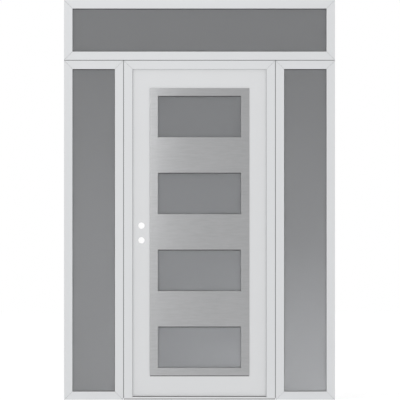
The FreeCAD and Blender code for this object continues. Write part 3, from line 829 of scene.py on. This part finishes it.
class DOOR_OT_drive_hinge_screws(bpy.types.Operator):
    """Screws in the plates of the three hinges"""

    bl_idname = "door.drive_hinge_screws"
    bl_label = "Drive hinge screws"

    def execute(self, context):
        sizes = fine_sizes()
        steel = coated("screw_steel", finishes().hinge_steel, tone=0.1, roughness=0.35, Metallic=1.0)
        tree = screw_tree()
        for half, body in (("frame", "frame"), ("leaf", "door_leaf")):
            points = []
            for place in HINGES:
                low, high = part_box(f"{place}_hinge_{half}_half")
                plate_low, plate_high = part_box(f"{place}_hinge_leaf_half")
                middle = sizes.plate_width / 2
                x = high.x - middle if half == "frame" else low.x + middle
                points.append((x, low.y + sizes.plate_thickness, plate_low.z + sizes.screw_inset))
                plate_length = plate_high.z - plate_low.z
                pitch = (plate_length - 2 * sizes.screw_inset) / (sizes.screw_count - 1)
            values = {
                "Count": sizes.screw_count,
                "Pitch": pitch,
                "Radius": sizes.screw_head / 2,
                "Rise": sizes.screw_rise,
                "Material": steel,
            }
            grow(f"hinge_{half}_screws", points, [], tree, values, body, "hinge")
        return {"FINISHED"}


class DOOR_OT_build_stage(bpy.types.Operator):
    """Pale floor, glowing backdrop, white surroundings, soft lamps and the camera"""

    bl_idname = "door.build_stage"
    bl_label = "Build stage"

    def execute(self, context):
        settings = stage_settings()
        lay_floor(settings)
        hang_backdrop(settings)
        light_world(settings)
        hang_lamps(settings)
        place_camera(settings)
        context.scene.view_settings.view_transform = "Standard"
        return {"FINISHED"}


def seen_rays(tree):
    """Mask of the rays that show a surface: from the camera, in gloss and through glass."""
    rays = add_node(tree, "ShaderNodeLightPath", -700, 400).outputs
    mask = rays["Is Camera Ray"]
    for place, ray in enumerate(("Is Glossy Ray", "Is Transmission Ray")):
        mask = calculate(tree, "MAXIMUM", -450 + 200 * place, 350, mask, rays[ray])
    return mask


def add_sheet(name, material_name, corners, faces):
    """Stage sheet with an empty material; gives both."""
    mesh = bpy.data.meshes.new(name)
    mesh.from_pydata(corners, [], faces)
    material = start_material(material_name)
    mesh.materials.append(material)
    return add_object(name, mesh), material


def lay_floor(settings):
    """Square floor that the camera sees white where no shadow falls."""
    half = settings.floor_size / 2
    corners = [(-half, -half, 0), (half, -half, 0), (half, half, 0), (-half, half, 0)]
    floor, material = add_sheet("studio_floor", "studio_floor_pale", corners, [(0, 1, 2, 3)])
    tree = material.node_tree
    pale = feed(add_node(tree, "ShaderNodeBsdfDiffuse", 0, 150), Color=PALE)
    extra = settings.floor_glow - settings.floor_lift
    strength = calculate(tree, "MULTIPLY_ADD", -150, -50, seen_rays(tree), extra, settings.floor_lift)
    glow = feed(add_node(tree, "ShaderNodeEmission", 50, -50), Color=WHITE, Strength=strength)
    both = feed(add_node(tree, "ShaderNodeAddShader", 250, 50), pale.outputs[0], glow.outputs[0])
    feed(add_node(tree, "ShaderNodeOutputMaterial", 500, 0), Surface=both.outputs[0])


def fading(tree, x, y, value, start, end, glow, **values):
    """Glow that is full up to a value's start and gone from its end on."""
    ramp = add_node(tree, "ShaderNodeMapRange", x, y, **values)
    feed(ramp, Value=value, From_Min=start, From_Max=end, To_Min=glow, To_Max=0.0)
    return ramp.outputs["Result"]


def hang_backdrop(settings):
    """Sheet on the floor and up behind the door, seen through glass alone, brighter at the lower right."""
    half = settings.backdrop_width / 2
    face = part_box("latch_jamb")[1].y
    y = face + settings.backdrop_distance
    start = face + settings.backdrop_start
    profile = [(start, BACKDROP_LIFT), (y, BACKDROP_LIFT), (y, settings.backdrop_height)]
    corners = [(x, deep, high) for deep, high in profile for x in (-half, half)]
    sheet, material = add_sheet("glowing_backdrop", "backdrop_glow", corners, [(0, 1, 3, 2), (2, 3, 5, 4)])
    for ray in ("camera", "diffuse", "glossy", "shadow", "volume_scatter"):
        setattr(sheet, "visible_" + ray, False)
    material.cycles.emission_sampling = "NONE"
    tree = material.node_tree
    place = add_node(tree, "ShaderNodeTexCoord", -900, 0).outputs["Object"]
    height = feed(add_node(tree, "ShaderNodeSeparateXYZ", -450, 150), place).outputs["Z"]
    levels = settings.low_glow_full, settings.low_glow_start, settings.low_glow
    low = fading(tree, -200, 200, height, *levels, interpolation_type="SMOOTHSTEP")
    away = place
    centre = (settings.corner_glow_x, y, 0.0)
    reach = (settings.corner_glow_width, settings.corner_glow_depth, settings.corner_glow_height)
    for step, (operation, term) in enumerate((("SUBTRACT", centre), ("DIVIDE", reach))):
        moved = add_node(tree, "ShaderNodeVectorMath", -700 + 150 * step, -150, operation=operation)
        away = feed(moved, away, term).outputs[0]
    distance = feed(add_node(tree, "ShaderNodeVectorMath", -400, -150, operation="LENGTH"), away)
    corner = fading(tree, -200, -150, distance.outputs["Value"], 0.0, 1.0, settings.corner_glow)
    both = calculate(tree, "ADD", 50, 50, low, corner)
    white = calculate(tree, "ADD", 250, 50, both, 1.0)
    glow = feed(add_node(tree, "ShaderNodeEmission", 450, 0), Color=WHITE, Strength=white)
    feed(add_node(tree, "ShaderNodeOutputMaterial", 700, 0), Surface=glow.outputs[0])


def light_world(settings):
    """White to the eye, in reflections and through glass; a softer level for the light itself."""
    world = bpy.data.worlds.new("studio_surroundings")
    bpy.context.scene.world = world
    world.use_nodes = True
    tree = world.node_tree
    tree.nodes.clear()
    white = feed(add_node(tree, "ShaderNodeBackground", 0, 150), Color=WHITE, Strength=1.0)
    soft = feed(add_node(tree, "ShaderNodeBackground", 0, -50), Color=WHITE, Strength=settings.ambient)
    pick = add_node(tree, "ShaderNodeMixShader", 300, 100)
    feed(pick, seen_rays(tree), soft.outputs[0], white.outputs[0])
    feed(add_node(tree, "ShaderNodeOutputWorld", 600, 0), Surface=pick.outputs[0])


def hang_lamp(name, watts):
    """Soft lamp, unseen by the camera, turned to its target."""
    width, height, place, target = LAMPS[name]
    lamp = bpy.data.lights.new(name, "AREA")
    lamp.shape = "RECTANGLE"
    lamp.size = width
    lamp.size_y = height
    lamp.energy = watts
    hung = add_object(name, lamp)
    hung.location = place
    hung.rotation_euler = (Vector(target) - Vector(place)).to_track_quat("-Z", "Y").to_euler()
    hung.visible_camera = False
    return hung


def hang_lamps(settings):
    """Large lamp in front, one above, and two cards for the gloss of the steel."""
    hang_lamp("key_lamp", settings.key_power)
    hang_lamp("top_lamp", settings.top_power).visible_glossy = False
    lit = bpy.data.collections.new("gloss_card_receivers")
    for name in STEEL_PANELS:
        lit.objects.link(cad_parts[name])
    for card in (hang_lamp("gloss_card", settings.gloss_power), hang_lamp("low_card", settings.low_power)):
        card.visible_diffuse = False
        card.light_linking.receiver_collection = lit


def place_camera(settings):
    """Long lens straight ahead, so that the overall height fills the picture."""
    camera = bpy.data.cameras.new("front_camera")
    camera.lens = camera.sensor_width * settings.camera_distance / overall_height
    camera.clip_end = settings.camera_distance + settings.floor_size
    held = add_object("front_camera", camera)
    held.location = (
        overall_middle_x + settings.camera_shift_x,
        outer_face_y - settings.camera_distance,
        overall_height / 2,
    )
    held.rotation_euler = (math.pi / 2, 0.0, 0.0)
    bpy.context.scene.camera = held


OPERATORS = (
    DOOR_OT_dress_frames,
    DOOR_OT_dress_leaf,
    DOOR_OT_dress_steel,
    DOOR_OT_dress_glass,
    DOOR_OT_dress_sill,
    DOOR_OT_dress_hinges,
    DOOR_OT_lay_glazing_lips,
    DOOR_OT_seal_corners,
    DOOR_OT_drive_hinge_screws,
    DOOR_OT_build_stage,
)


class DOOR_PT_panel(bpy.types.Panel):
    """Steps that dress the door"""

    bl_idname = "DOOR_PT_panel"
    bl_label = "Entry door"
    bl_space_type = "VIEW_3D"
    bl_region_type = "UI"
    bl_category = "Door"

    def draw(self, context):
        for step in OPERATORS:
            self.layout.operator(step.bl_idname)
        for group in (finishes(), fine_sizes(), stage_settings()):
            box = self.layout.box()
            for key in group.__annotations__:
                box.prop(group, key)


CLASSES = (DoorFinishes, DoorFineSizes, DoorStage) + OPERATORS + (DOOR_PT_panel,)


def register():
    for made in CLASSES:
        bpy.utils.register_class(made)
    bpy.types.Scene.door_finishes = bpy.props.PointerProperty(type=DoorFinishes)
    bpy.types.Scene.door_fine_sizes = bpy.props.PointerProperty(type=DoorFineSizes)
    bpy.types.Scene.door_stage = bpy.props.PointerProperty(type=DoorStage)


def unregister():
    del bpy.types.Scene.door_finishes
    del bpy.types.Scene.door_fine_sizes
    del bpy.types.Scene.door_stage
    for made in reversed(CLASSES):
        bpy.utils.unregister_class(made)


def main():
    register()
    for step in OPERATORS:
        group, name = step.bl_idname.split(".")
        getattr(getattr(bpy.ops, group), name)()


if __name__ == "__main__":
    main()
